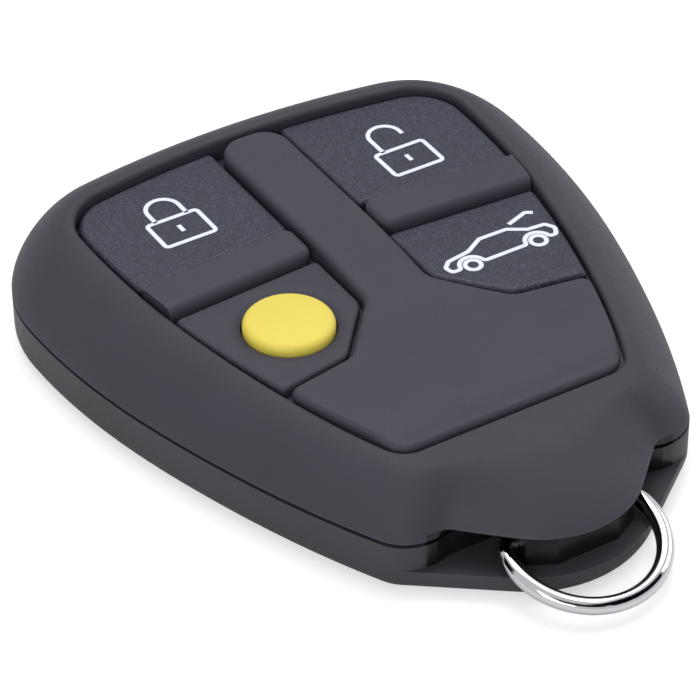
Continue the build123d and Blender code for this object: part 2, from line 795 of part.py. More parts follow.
# Thin metal covers of the four switches, each with a hole for its pin
with BuildPart() as switch_covers:
    with BuildSketch(level(board_top + switch_height)):
        for node, across, along in switch_places:
            with Locations((across, along)):
                Rectangle(switch_size, switch_size)
                Circle(pin_diameter / 2 + pin_gap, mode=Mode.SUBTRACT)
    extrude(amount=switch_cover_thickness)
finish(switch_covers, "switch_covers")

# Chips under the board, beside the coin cell
chips = (("microcontroller", 0, controller_gap, controller_size, controller_size, controller_height),
         ("radio_chip", radio_across, radio_gap, radio_size, radio_size, radio_height),
         ("crystal_can", crystal_across, crystal_gap, crystal_length, crystal_width, crystal_height))
for node, across, gap, length, width, height in chips:
    with BuildPart() as chip:
        with BuildSketch(level(board_bottom)):
            with Locations((across, cell_well_end - gap)):
                Rectangle(length, width, align=(Align.CENTER, Align.MAX))
        extrude(amount=-height)
    finish(chip, node)

# Small capacitors and resistors on top of the board
with BuildPart() as board_passives:
    with BuildSketch(level(board_top)):
        with Locations((0, cell_well_end - passive_gap - passive_pitch)):
            with GridLocations(passive_pitch, passive_pitch, passive_columns, passive_rows):
                Rectangle(passive_length, passive_width)
    extrude(amount=passive_height)
finish(board_passives, "board_passives")

# Printed loop aerial along the board's wide end
with BuildPart() as antenna_loop:
    inner_inset = antenna_inset + antenna_width
    with BuildSketch(level(board_top)):
        make_face(inner_outline(antenna_inset, tray_end_along, board_end_radius))
        make_face(inner_outline(inner_inset, tray_end_along, board_end_radius), mode=Mode.SUBTRACT)
        with Locations((0, antenna_end_along)):
            Rectangle(body_width, body_length, align=(Align.CENTER, Align.MIN), mode=Mode.INTERSECT)
    extrude(amount=antenna_thickness)
finish(antenna_loop, "antenna_loop")

# Coin cell: the wide can below, the smaller cap towards the board
with BuildPart() as coin_cell:
    with BuildSketch(level(cell_floor)):
        with Locations((0, cell_along)):
            Circle(cell_diameter / 2)
    extrude(amount=cell_height - cell_cap_height)
    fillet(coin_cell.edges().group_by(Axis.Z)[0], cell_edge_round)
    with BuildSketch(level(cell_top - cell_cap_height)):
        with Locations((0, cell_along)):
            Circle(cell_cap_diameter / 2)
    extrude(amount=cell_cap_height)
finish(coin_cell, "coin_cell")

# Sprung strap under the cell, with a leg on each side up to the board
with BuildPart() as battery_clip:
    half = cell_diameter / 2 + clip_cell_gap
    outer = half + clip_thickness
    low = floor_thickness + clip_gap
    edge_along = datum_along + cell_along - clip_width / 2
    with BuildSketch(Plane((0, edge_along, 0), x_dir=(1, 0, 0), z_dir=(0, -1, 0))):
        with BuildLine():
            Polyline((-outer, board_bottom), (-outer, low), (outer, low), (outer, board_bottom),
                     (half, board_bottom), (half, cell_floor), (-half, cell_floor), (-half, board_bottom),
                     close=True)
        make_face()
    extrude(amount=-clip_width)
finish(battery_clip, "battery_clip")

# Contact on the board's underside: a small plate with three fingers down to the cell's cap
with BuildPart() as battery_contact:
    with BuildSketch(level(board_bottom)):
        with Locations((0, cell_along)):
            Rectangle(spring_size, spring_size)
    extrude(amount=-spring_thickness)
    with BuildSketch(level(cell_top)):
        with Locations((0, cell_along)):
            Rectangle(spring_finger_width, spring_size)
    extrude(amount=board_bottom - cell_top - spring_thickness)
finish(battery_contact, "battery_contact")

# Key ring: one bent wire whose ends turn in to the neck's bore, drooping a little from the hinge line
ring_plane = Plane((0, datum_along + hinge_along, hinge_height), x_dir=(1, 0, 0),
                   z_dir=(0, sin(radians(ring_droop_angle)), -cos(radians(ring_droop_angle))))
bend_centre = sqrt((ring_radius - ring_bend_radius) ** 2 - (ring_reach - ring_bend_radius) ** 2)
bend_lean = degrees(atan2(ring_reach - ring_bend_radius, bend_centre))
with BuildPart() as key_ring:
    with BuildLine(ring_plane) as wire:
        pin = Line((ring_pin_start, 0), (bend_centre, 0))
        bend = JernArc(pin @ 1, pin % 1, ring_bend_radius, right_angle - bend_lean)
        loop = JernArc(bend @ 1, bend % 1, ring_radius, 2 * (right_angle + bend_lean))
        last_bend = JernArc(loop @ 1, loop % 1, ring_bend_radius, right_angle - bend_lean)
        Line(last_bend @ 1, (-ring_pin_start, 0))
    with BuildSketch(Plane(wire.line @ 0, z_dir=wire.line % 0)):
        Circle(ring_wire / 2)
    sweep(path=wire.line)
finish(key_ring, "key_ring")
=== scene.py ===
import math
import bpy
import bmesh
from mathutils import Matrix, Vector
from mathutils.bvhtree import BVHTree


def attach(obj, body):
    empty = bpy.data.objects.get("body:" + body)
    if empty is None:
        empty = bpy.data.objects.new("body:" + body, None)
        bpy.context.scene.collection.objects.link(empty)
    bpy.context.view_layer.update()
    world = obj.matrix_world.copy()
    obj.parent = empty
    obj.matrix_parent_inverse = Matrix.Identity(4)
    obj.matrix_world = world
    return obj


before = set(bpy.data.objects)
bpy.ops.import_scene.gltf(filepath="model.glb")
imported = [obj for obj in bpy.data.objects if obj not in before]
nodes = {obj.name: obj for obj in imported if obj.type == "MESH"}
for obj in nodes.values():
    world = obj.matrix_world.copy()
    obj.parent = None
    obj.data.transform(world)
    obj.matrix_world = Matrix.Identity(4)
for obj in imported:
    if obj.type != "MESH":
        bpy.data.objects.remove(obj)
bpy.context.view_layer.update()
print("Frame loaded:", len(nodes), "nodes")

mm = 0.001
bodyMiddle = Vector((0, 2.72 * mm, 0))  # the signs and the lamps are laid out from here


def link(tree, source, target):
    tree.links.new(source, target)


# A value goes on a socket as a link where it is a socket too, and else as a number or colour
def feed(tree, value, socket):
    if isinstance(value, bpy.types.NodeSocket):
        link(tree, value, socket)
    else:
        socket.default_value = value


def node(tree, kind, **values):
    placed = tree.nodes.new(kind)
    for key, value in values.items():
        if hasattr(placed, key):
            setattr(placed, key, value)
        else:
            placed.inputs[key.replace("_", " ")].default_value = value
    return placed


def calc(tree, operation, *values):
    worked = node(tree, "ShaderNodeMath", operation=operation)
    for socket, value in zip(worked.inputs, values):
        feed(tree, value, socket)
    return worked.outputs[0]


# Places of a Mix node's sockets by its kind of data: share, first, second and result
mixSockets = {"FLOAT": (0, 2, 3, 0), "RGBA": (0, 6, 7, 2)}


def mix(tree, kind, share, first, second):
    mixed = node(tree, "ShaderNodeMix", data_type=kind)
    *given, result = mixSockets[kind]
    for place, value in zip(given, (share, first, second)):
        feed(tree, value, mixed.inputs[place])
    return mixed.outputs[result]


def remap(tree, value, span, target=(0.0, 1.0)):
    mapped = node(tree, "ShaderNodeMapRange")
    feed(tree, value, mapped.inputs["Value"])
    for label, end in zip(("From Min", "From Max", "To Min", "To Max"), (*span, *target)):
        feed(tree, end, mapped.inputs[label])
    return mapped.outputs[0]


def objectPlace(tree):
    return node(tree, "ShaderNodeTexCoord").outputs["Object"]


noiseSpan = (0.3, 0.7)  # nearly all of a noise's values lie in it


def noise(tree, rate, detail, roughness):
    cloud = node(tree, "ShaderNodeTexNoise", Detail=detail, Roughness=roughness)
    link(tree, objectPlace(tree), cloud.inputs["Vector"])
    feed(tree, rate, cloud.inputs["Scale"])
    return cloud.outputs["Fac"]


# Repeats in a metre of a pattern whose size is in mm
def repeats(tree, size):
    return calc(tree, "DIVIDE", 1 / mm, size)


def srgb(red, green, blue):
    def straight(part):
        part /= 255
        return part / 12.92 if part <= 0.04045 else ((part + 0.055) / 1.055) ** 2.4
    return (straight(red), straight(green), straight(blue), 1)


# A shader group: each input is a colour or a number, with the value it starts at
def newGroup(name, inputs, outputs):
    tree = bpy.data.node_groups.new(name, "ShaderNodeTree")
    for label, value in inputs.items():
        kind = "NodeSocketColor" if isinstance(value, tuple) else "NodeSocketFloat"
        tree.interface.new_socket(label, in_out="INPUT", socket_type=kind).default_value = value
    for label in outputs:
        kind = "NodeSocketColor" if label == "Colour" else "NodeSocketFloat"
        tree.interface.new_socket(label, in_out="OUTPUT", socket_type=kind)
    return tree, tree.nodes.new("NodeGroupInput").outputs, tree.nodes.new("NodeGroupOutput").inputs


def useGroup(tree, group, **values):
    placed = tree.nodes.new("ShaderNodeGroup")
    placed.node_tree = group
    for key, value in values.items():
        feed(tree, value, placed.inputs[key])
    return placed.outputs


startColour = (0.1, 0.1, 0.1, 1)
grainSet = {"fineDetail": 1.0, "fineRoughness": 0.5, "wideRate": 0.23, "wideDetail": 2.0, "wideRoughness": 0.6}


# Fine moulded grain: two layers of noise, the larger one shallow
def buildGrain():
    tree, given, result = newGroup("mouldedGrain", {"Size": 0.1, "Coarse": 0.3}, ("Height", "Mask"))
    rate = repeats(tree, given["Size"])
    fine = noise(tree, rate, grainSet["fineDetail"], grainSet["fineRoughness"])
    slower = calc(tree, "MULTIPLY", rate, grainSet["wideRate"])
    wide = noise(tree, slower, grainSet["wideDetail"], grainSet["wideRoughness"])
    link(tree, mix(tree, "FLOAT", given["Coarse"], fine, wide), result["Height"])
    link(tree, wide, result["Mask"])
    return tree


driftSet = {"detail": 3.0, "roughness": 0.55}


# Slow drift of tone over a moulding, as soft-touch paint shows
def buildDrift():
    inputs = {"Colour": startColour, "Amount": 0.1, "Size": 8.0}
    tree, given, result = newGroup("toneDrift", inputs, ("Colour",))
    cloud = noise(tree, repeats(tree, given["Size"]), driftSet["detail"], driftSet["roughness"])
    darkest = calc(tree, "SUBTRACT", 1, given["Amount"])
    lightest = calc(tree, "ADD", 1, given["Amount"])
    shade = node(tree, "ShaderNodeVectorMath", operation="SCALE")
    link(tree, given["Colour"], shade.inputs[0])
    link(tree, remap(tree, cloud, noiseSpan, (darkest, lightest)), shade.inputs["Scale"])
    link(tree, shade.outputs[0], result["Colour"])
    return tree


# Bright flecks scattered in a plastic or paint
def buildFlecks():
    inputs = {"Colour": startColour, "Fleck": (0.4, 0.4, 0.5, 1), "Size": 0.12, "Cover": 0.2}
    tree, given, result = newGroup("flecks", inputs, ("Colour",))
    scaled = node(tree, "ShaderNodeVectorMath", operation="SCALE")
    link(tree, objectPlace(tree), scaled.inputs[0])
    link(tree, repeats(tree, given["Size"]), scaled.inputs["Scale"])
    cells = node(tree, "ShaderNodeTexVoronoi", feature="F1", Scale=1.0)
    link(tree, scaled.outputs[0], cells.inputs["Vector"])
    grit = node(tree, "ShaderNodeTexWhiteNoise", noise_dimensions="3D")
    link(tree, cells.outputs["Position"], grit.inputs["Vector"])
    mask = remap(tree, grit.outputs["Value"], (calc(tree, "SUBTRACT", 1, given["Cover"]), 1))
    link(tree, mix(tree, "RGBA", mask, given["Colour"], given["Fleck"]), result["Colour"])
    return tree


# How far and how strongly edges are rubbed and drawn lighter as a painted highlight
rubAndHighlightSet = {"samples": 4, "flat": 0.985, "sharp": 0.75, "rate": 900.0, "detail": 3.0, "roughness": 0.5,
          "span": (0.35, 0.6), "least": 0.35}


# Edges rubbed by hands and drawn lighter as a painted highlight: where the normal of a rounded copy leaves the real
# one, broken up a little
def buildRubAndHighlight():
    inputs = {"Colour": startColour, "Rubbed": (0.2, 0.2, 0.2, 1), "Reach": 0.3, "Strength": 0.4}
    tree, given, result = newGroup("edgeRubAndHighlight", inputs, ("Colour", "Mask"))
    rounded = node(tree, "ShaderNodeBevel", samples=rubAndHighlightSet["samples"])
    link(tree, calc(tree, "MULTIPLY", given["Reach"], mm), rounded.inputs["Radius"])
    agree = node(tree, "ShaderNodeVectorMath", operation="DOT_PRODUCT")
    link(tree, rounded.outputs[0], agree.inputs[0])
    link(tree, node(tree, "ShaderNodeNewGeometry").outputs["Normal"], agree.inputs[1])
    edge = remap(tree, agree.outputs["Value"], (rubAndHighlightSet["flat"], rubAndHighlightSet["sharp"]))
    breaks = noise(tree, rubAndHighlightSet["rate"], rubAndHighlightSet["detail"], rubAndHighlightSet["roughness"])
    worn = calc(tree, "MULTIPLY", edge, remap(tree, breaks, rubAndHighlightSet["span"], (rubAndHighlightSet["least"], 1.0)))
    mask = calc(tree, "MULTIPLY", worn, given["Strength"])
    link(tree, mix(tree, "RGBA", mask, given["Colour"], given["Rubbed"]), result["Colour"])
    link(tree, mask, result["Mask"])
    return tree


# Painted shade: the colour turns near-black where grooves and hollows lie in shade, in a box of the object, in mm
def buildRecessShade():
    inputs = {"Colour": startColour, "Dark": (0.005, 0.005, 0.005, 1), "Low": 2.0, "High": 6.0, "Start": -22.0,
              "Half": 12.0}
    tree, given, result = newGroup("paintedRecessShade", inputs, ("Colour", "Mask"))
    scaled = node(tree, "ShaderNodeVectorMath", operation="SCALE", Scale=1 / mm)
    link(tree, objectPlace(tree), scaled.inputs[0])
    split = node(tree, "ShaderNodeSeparateXYZ")
    link(tree, scaled.outputs[0], split.inputs[0])
    across, along, height = split.outputs
    inside = calc(tree, "GREATER_THAN", height, given["Low"])
    for value, limit in ((height, "High"), (along, "Start"), (calc(tree, "ABSOLUTE", across), "Half")):
        inside = calc(tree, "MULTIPLY", inside, calc(tree, "LESS_THAN", value, given[limit]))
    link(tree, mix(tree, "RGBA", inside, given["Colour"], given["Dark"]), result["Colour"])
    link(tree, inside, result["Mask"])
    return tree


grainGroup = buildGrain()
driftGroup = buildDrift()
fleckGroup = buildFlecks()
rubAndHighlightGroup = buildRubAndHighlight()
recessShadeGroup = buildRecessShade()


def startMaterial(name, roughness, metallic, specular):
    material = bpy.data.materials.new(name)
    material.use_nodes = True
    shader = material.node_tree.nodes["Principled BSDF"]
    shader.inputs["Roughness"].default_value = roughness
    shader.inputs["Metallic"].default_value = metallic
    shader.inputs["Specular IOR Level"].default_value = specular
    return material, material.node_tree, shader


# Colour and roughness go on the shader, and the grain's height as a bump of a depth in mm
def dress(tree, shader, colour, rough, height, strength, depth):
    link(tree, colour, shader.inputs["Base Color"])
    link(tree, rough, shader.inputs["Roughness"])
    bump = node(tree, "ShaderNodeBump", Strength=strength, Distance=depth * mm)
    link(tree, height, bump.inputs["Height"])
    link(tree, bump.outputs["Normal"], shader.inputs["Normal"])


plasticSet = {"driftSize": 9.0, "coarse": 0.3, "spread": 0.05, "rubbedRough": -0.2, "recessShadeRough": 0.3, "bump": 0.5}
plainPlastic = {"specular": 0.3, "drift": 0.05, "grainSize": 0.09, "grainDepth": 0.004}  # unless a look says else


# Moulded plastic or rubber: drifted colour, flecks, rubbed edges drawn lighter as a painted highlight, painted
# shade in grooves and hollows, fine grain, roughness that follows the grain
def mouldedPlastic(name, look):
    look = {**plainPlastic, **look}
    roughness, spread = look["roughness"], plasticSet["spread"]
    material, tree, shader = startMaterial(name, roughness, 0.0, look["specular"])
    colour = useGroup(tree, driftGroup, Colour=look["colour"], Amount=look["drift"],
                      Size=plasticSet["driftSize"])["Colour"]
    grain = useGroup(tree, grainGroup, Size=look["grainSize"], Coarse=plasticSet["coarse"])
    if "fleck" in look:
        colour = useGroup(tree, fleckGroup, Colour=colour, Fleck=look["fleck"], Size=look["fleckSize"],
                          Cover=look["fleckCover"])["Colour"]
    rough = remap(tree, grain["Mask"], noiseSpan, (roughness - spread, roughness + spread))
    # Rubbed edges, drawn lighter as a painted highlight
    if "rubbedHighlight" in look:
        rubAndHighlight = useGroup(tree, rubAndHighlightGroup, Colour=colour, Rubbed=look["rubbedHighlight"], Reach=look["rubAndHighlightReach"],
                       Strength=look["rubAndHighlightStrength"])
        colour = rubAndHighlight["Colour"]
        rough = calc(tree, "MULTIPLY_ADD", rubAndHighlight["Mask"], plasticSet["rubbedRough"], rough)
    # Painted shade: near-black in the grooves and the hollow inside the look's box
    if "recessShade" in look:
        box = look["recessShade"]
        recessShade = useGroup(tree, recessShadeGroup, Colour=colour, Low=box["low"], High=box["high"], Start=box["start"],
                        Half=box["half"])
        colour = recessShade["Colour"]
        rough = mix(tree, "FLOAT", recessShade["Mask"], rough, plasticSet["recessShadeRough"])
    dress(tree, shader, colour, rough, grain["Height"], plasticSet["bump"], look["grainDepth"])
    return material


metalSet = {"specular": 0.5, "driftSize": 5.0, "grainSize": 0.4, "coarse": 0.5, "smoothest": 0.02, "bump": 0.2,
            "grainDepth": 0.004}


def brightMetal(name, look):
    roughness, scratch = look["roughness"], look["scratch"]
    material, tree, shader = startMaterial(name, roughness, 1.0, metalSet["specular"])
    tone = useGroup(tree, driftGroup, Colour=look["colour"], Amount=look["drift"], Size=metalSet["driftSize"])
    grain = useGroup(tree, grainGroup, Size=metalSet["grainSize"], Coarse=metalSet["coarse"])
    smoothest = max(roughness - scratch, metalSet["smoothest"])
    rough = remap(tree, grain["Mask"], noiseSpan, (smoothest, roughness + scratch))
    dress(tree, shader, tone["Colour"], rough, grain["Height"], metalSet["bump"], metalSet["grainDepth"])
    return material


# Boxes of painted shade, in mm, where a moulding turns near-black: the hollow round the neck, and the grooves of
# the keypad. A box lies
# # between the heights low and high, runs from start towards the tail, and reaches half to each side.
recessShadeBoxes = {
    "coverNeck": {"low": 2.0, "high": 5.75, "start": -21.9, "half": 12.2},
    "rearNeck": {"low": 2.45, "high": 6.0, "start": -21.9, "half": 12.2},
    "trimGrooves": {"low": 0.0, "high": 9.2, "start": 40.0, "half": 40.0},
    "capGrooves": {"low": 0.0, "high": 9.6, "start": 40.0, "half": 40.0},
}
# The front cover's paint, which its corner strips have too
softTouch = {"colour": srgb(46, 46, 54), "roughness": 0.62, "specular": 0.22, "drift": 0.06, "grainDepth": 0.006}
plastics = {
    "softTouchShell": {**softTouch, "rubbedHighlight": srgb(84, 84, 90), "rubAndHighlightReach": 0.3, "rubAndHighlightStrength": 0.3,
                       "recessShade": recessShadeBoxes["coverNeck"]},
    "softTouchStrip": softTouch,
    "softTouchRear": {"colour": srgb(46, 46, 51), "roughness": 0.56, "specular": 0.25, "drift": 0.06,
                      "grainDepth": 0.006, "rubbedHighlight": srgb(80, 80, 84), "rubAndHighlightReach": 0.25, "rubAndHighlightStrength": 0.3,
                      "recessShade": recessShadeBoxes["rearNeck"]},
    "softTouchTrim": {"colour": srgb(48, 48, 58), "roughness": 0.6, "specular": 0.22, "drift": 0.05,
                      "grainDepth": 0.005, "rubbedHighlight": srgb(88, 88, 96), "rubAndHighlightReach": 0.3, "rubAndHighlightStrength": 0.35,
                      "recessShade": recessShadeBoxes["trimGrooves"]},
    "flintCaps": {"colour": srgb(31, 33, 45), "roughness": 0.5, "specular": 0.28, "drift": 0.04, "grainSize": 0.08,
                  "fleck": srgb(58, 61, 76), "fleckSize": 0.11, "fleckCover": 0.3, "rubbedHighlight": srgb(80, 82, 92),
                  "rubAndHighlightReach": 0.25, "rubAndHighlightStrength": 0.3, "recessShade": recessShadeBoxes["capGrooves"]},
    "yellowDome": {"colour": srgb(194, 177, 74), "roughness": 0.55, "specular": 0.25, "drift": 0.03,
                   "grainSize": 0.12, "grainDepth": 0.006},
    "blackSeal": {"colour": srgb(14, 14, 15), "roughness": 0.7, "grainSize": 0.2},
    "greyRubber": {"colour": srgb(118, 120, 122), "roughness": 0.7, "grainSize": 0.2, "grainDepth": 0.006},
    "greenBoard": {"colour": srgb(26, 84, 48), "roughness": 0.35, "specular": 0.5, "drift": 0.12, "grainSize": 0.3},
    "blackPackage": {"colour": srgb(24, 24, 26), "roughness": 0.55, "grainSize": 0.06},
    "blackSwitch": {"colour": srgb(30, 30, 32), "roughness": 0.5, "grainSize": 0.06},
    "ivoryPin": {"colour": srgb(206, 198, 176), "roughness": 0.5, "grainSize": 0.06},
    "tanParts": {"colour": srgb(150, 122, 90), "roughness": 0.5, "drift": 0.2, "grainSize": 0.3},
    "paleSigns": {"colour": srgb(200, 204, 216), "roughness": 0.5, "drift": 0.03, "grainSize": 0.1,
                  "grainDepth": 0.002},
}
metals = {
    "polishedNickel": {"colour": srgb(184, 181, 186), "roughness": 0.1, "drift": 0.03, "scratch": 0.03},
    "plainSteel": {"colour": srgb(196, 197, 199), "roughness": 0.28, "drift": 0.04, "scratch": 0.08},
    "springSteel": {"colour": srgb(188, 186, 180), "roughness": 0.3, "drift": 0.05, "scratch": 0.08},
    "gildedCopper": {"colour": srgb(214, 170, 96), "roughness": 0.3, "drift": 0.06, "scratch": 0.06},
}
made = {name: mouldedPlastic(name, look) for name, look in plastics.items()}
made.update({name: brightMetal(name, look) for name, look in metals.items()})

finishes = {
    "front_cover": "softTouchShell", "rear_cover": "softTouchRear", "sealing_gasket": "blackSeal",
    "keypad_frame": "softTouchTrim", "centre_trim": "softTouchTrim", "lock_button": "flintCaps",
    "unlock_button": "flintCaps", "boot_button": "flintCaps", "light_button": "yellowDome",
    "keypad_mat": "greyRubber", "circuit_board": "greenBoard", "microcontroller": "blackPackage",
    "radio_chip": "blackPackage", "board_passives": "tanParts", "crystal_can": "plainSteel",
    "coin_cell": "plainSteel", "switch_covers": "plainSteel", "battery_clip": "springSteel",
    "battery_contact": "springSteel", "antenna_loop": "gildedCopper", "key_ring": "polishedNickel",
}
for name in ("lock", "unlock", "light", "boot"):
    finishes[name + "_switch"] = "blackSwitch"
    finishes[name + "_actuator"] = "ivoryPin"
for name, finish in finishes.items():
    nodes[name].data.materials.clear()
    nodes[name].data.materials.append(made[finish])
print("Materials on", len(finishes), "nodes")

# Strips over the front cover's two tail corners, where its hollow meets the skin in a hairline slot, in mm. A strip
# reads the skin's height from rays, and bends across the slot from the two heights known on each side of it.
stripSet = {"across": (8.25, 9.95), "along": (-21.05, -20.0), "steps": (17, 14), "above": 12.0,
            "slotAcross": (8.4, 9.8), "slotAlong": (-20.78, -20.16), "proud": 0.012, "thickness": 0.1}


def inSlot(value, name):
    low, high = stripSet[name]
    return low < value < high


def skinHeights(tree, side):
    (left, right), (near, far) = stripSet["across"], stripSet["along"]
    wide, deep = stripSet["steps"]
    columns = []
    for i in range(wide + 1):
        x = side * (left + (right - left) * i / wide)
        column = []
        for j in range(deep + 1):
            y = near + (far - near) * j / deep
            hit = tree.ray_cast(Vector((x, y, stripSet["above"])) * mm, Vector((0, 0, -1)))[0]
            slotted = inSlot(abs(x), "slotAcross") and inSlot(y, "slotAlong")
            column.append([x, y, None if slotted else hit.z / mm])
        known = [j for j, spot in enumerate(column) if spot[2] is not None]
        for j, spot in enumerate(column):
            if spot[2] is None:
                around = [k for k in known if k < j][-2:] + [k for k in known if k > j][:2]
                spot[2] = sum(column[k][2] * math.prod((j - m) / (k - m) for m in around if m != k)
                              for k in around)
        columns.append(column)
    return columns


def makeStrip(name, side):
    shell = bmesh.new()
    shell.from_mesh(nodes["front_cover"].data)
    columns = skinHeights(BVHTree.FromBMesh(shell), side)
    shell.free()
    work = bmesh.new()
    top, low = [[[work.verts.new(Vector((x, y, z + rise)) * mm) for x, y, z in column] for column in columns]
                for rise in (stripSet["proud"], -stripSet["thickness"])]
    wide, deep = stripSet["steps"]
    for layer in (top, low):
        for i in range(wide):
            for j in range(deep):
                work.faces.new((layer[i][j], layer[i + 1][j], layer[i + 1][j + 1], layer[i][j + 1]))
    rim = [(i, 0) for i in range(wide)] + [(wide, j) for j in range(deep)]
    rim += [(i, deep) for i in range(wide, 0, -1)] + [(0, j) for j in range(deep, 0, -1)]
    for (i, j), (k, l) in zip(rim, rim[1:] + rim[:1]):
        work.faces.new((top[i][j], top[k][l], low[k][l], low[i][j]))
    bmesh.ops.recalc_face_normals(work, faces=work.faces)
    mesh = bpy.data.meshes.new(name)
    work.to_mesh(mesh)
    work.free()
    mesh.materials.append(made["softTouchStrip"])
    strip = bpy.data.objects.new(name, mesh)
    bpy.context.scene.collection.objects.link(strip)
    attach(strip, "housing")


makeStrip("rightCornerStrip", 1)
makeStrip("leftCornerStrip", -1)
print("Corner strips made")

# Signs printed on three buttons: plain pictures of general use, laid out in mm from each sign's middle
signSet = {
    "stroke": 0.42, "thickness": 0.05, "proud": 0.03, "bend": 0.35, "bendSteps": 6, "arcSteps": 12, "merge": 0.0001,
    "lock": {"middle": (-11.5, 17.0), "top": 10.8},
    "unlock": {"middle": (11.2, 15.6), "top": 10.8},
    "boot": {"middle": (10.9, -0.5), "top": 10.4},
    "padlock": {"halfWidth": 2.5, "low": -3.1, "high": 0.6, "shackle": 1.55, "neck": 1.5, "lifted": 2.3,
                "openLeg": 0.5, "keyhole": (-0.7, -1.7)},
    "car": {"wheel": 0.72, "arch": 1.2, "axle": 3.4, "sill": -1.35, "rear": 5.3, "front": -5.5,
            "roofLine": [(5.7, -0.5), (5.2, 0.35), (3.5, 0.5), (1.9, 1.5), (-0.9, 1.55), (-2.7, 0.5),
                         (-5.0, 0.15), (-5.7, -0.5)],
            "raisedLid": [(2.5, 2.0), (4.7, 2.75), (5.3, 2.35)]},
}


# Points of an arc from one angle to another, in degrees
def arcPoints(x, y, radius, start, end, steps):
    turns = [math.radians(start + (end - start) * step / steps) for step in range(steps + 1)]
    return [(x + radius * math.cos(turn), y + radius * math.sin(turn)) for turn in turns]


def halfRound(x, y, radius):
    return arcPoints(x, y, radius, 180, 0, signSet["arcSteps"])


def fullRound(x, y, radius):
    steps = signSet["arcSteps"]
    return arcPoints(x, y, radius, 0, 360 - 360 / steps, steps - 1)


def padlockLines(opened):
    size = signSet["padlock"]
    wide, low, high, arm = size["halfWidth"], size["low"], size["high"], size["shackle"]
    lift = size["lifted"] if opened else size["neck"]
    foot = high + lift - size["openLeg"] if opened else high
    body = [(-wide, low), (wide, low), (wide, high), (-wide, high)]
    shackle = [(-arm, high)] + halfRound(0, high + lift, arm) + [(arm, foot)]
    keyhole = [(0, height) for height in size["keyhole"]]
    return [(body, True), (shackle, False), (keyhole, False)]


def carLines():
    size = signSet["car"]
    axle, sill, arch = size["axle"], size["sill"], size["arch"]
    outline = [(size["rear"], sill)] + size["roofLine"] + [(size["front"], sill)]
    outline += halfRound(-axle, sill, arch) + halfRound(axle, sill, arch)
    wheels = [(fullRound(side * axle, sill, size["wheel"]), True) for side in (-1, 1)]
    return [(outline, True), (size["raisedLid"], False)] + wheels


# Geometry Nodes: a flat printed stroke along each line, with its corners bent round
def buildStroke():
    tree = bpy.data.node_groups.new("printedStroke", "GeometryNodeTree")
    sockets = {"Geometry": "NodeSocketGeometry", "Width": "NodeSocketFloat", "Thickness": "NodeSocketFloat",
               "Bend": "NodeSocketFloat", "Material": "NodeSocketMaterial"}
    for label, kind in sockets.items():
        tree.interface.new_socket(label, in_out="INPUT", socket_type=kind)
    tree.interface.new_socket("Geometry", in_out="OUTPUT", socket_type="NodeSocketGeometry")
    given, result = tree.nodes.new("NodeGroupInput"), tree.nodes.new("NodeGroupOutput")
    bent = node(tree, "GeometryNodeFilletCurve", mode="POLY", Count=signSet["bendSteps"], Limit_Radius=True)
    link(tree, given.outputs["Geometry"], bent.inputs["Curve"])
    link(tree, given.outputs["Bend"], bent.inputs["Radius"])
    level = node(tree, "GeometryNodeSetCurveNormal", mode="Z_UP")
    link(tree, bent.outputs[0], level.inputs["Curve"])
    profile = node(tree, "GeometryNodeCurvePrimitiveQuadrilateral", mode="RECTANGLE")
    link(tree, given.outputs["Width"], profile.inputs["Width"])
    link(tree, given.outputs["Thickness"], profile.inputs["Height"])
    solid = node(tree, "GeometryNodeCurveToMesh", Fill_Caps=True)
    link(tree, level.outputs[0], solid.inputs["Curve"])
    link(tree, profile.outputs[0], solid.inputs["Profile Curve"])
    real = node(tree, "GeometryNodeRealizeInstances")
    link(tree, solid.outputs[0], real.inputs["Geometry"])
    inked = node(tree, "GeometryNodeSetMaterial")
    link(tree, real.outputs[0], inked.inputs["Geometry"])
    link(tree, given.outputs["Material"], inked.inputs["Material"])
    link(tree, inked.outputs[0], result.inputs["Geometry"])
    return tree


strokeTree = buildStroke()


def makeSign(name, place, lines, body):
    data = bpy.data.curves.new(name + "Lines", "CURVE")
    data.dimensions = "3D"
    middle = signSet[place]["middle"]
    height = (signSet[place]["top"] + signSet["proud"] - signSet["thickness"] / 2) * mm
    for points, closed in lines:
        spline = data.splines.new("POLY")
        spline.points.add(len(points) - 1)
        spline.use_cyclic_u = closed
        for point, (x, y) in zip(spline.points, points):
            point.co = ((middle[0] + x) * mm, bodyMiddle.y + (middle[1] + y) * mm, height, 1)
    lined = bpy.data.objects.new(name + "Lines", data)
    bpy.context.scene.collection.objects.link(lined)
    stroke = lined.modifiers.new("stroke", "NODES")
    stroke.node_group = strokeTree
    values = {"Width": signSet["stroke"] * mm, "Thickness": signSet["thickness"] * mm,
              "Bend": signSet["bend"] * mm, "Material": made["paleSigns"]}
    for socket in strokeTree.interface.items_tree:
        if socket.in_out == "INPUT" and socket.name in values:
            stroke[socket.identifier] = values[socket.name]
    bpy.context.view_layer.update()
    evaluated = lined.evaluated_get(bpy.context.evaluated_depsgraph_get())
    mesh = bpy.data.meshes.new_from_object(evaluated)
    mesh.name = name
    bpy.data.objects.remove(lined)
    sign = bpy.data.objects.new(name, mesh)
    bpy.context.scene.collection.objects.link(sign)
    work = bmesh.new()
    work.from_mesh(mesh)
    bmesh.ops.remove_doubles(work, verts=work.verts, dist=signSet["merge"] * mm)
    bmesh.ops.recalc_face_normals(work, faces=work.faces)
    work.to_mesh(mesh)
    work.free()
    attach(sign, body)
    print("Sign", name, len(mesh.polygons), "faces")


makeSign("closedPadlock", "lock", padlockLines(False), "lock")
makeSign("openPadlock", "unlock", padlockLines(True), "unlock")
makeSign("carWithLidUp", "boot", carLines(), "boot")

# A floor that is pale to the object and white to the camera, by its seen colour and a glow added to it
floorSet = {"size": 2.0, "colour": 0.8, "seenColour": 0.5, "glow": 0.5}


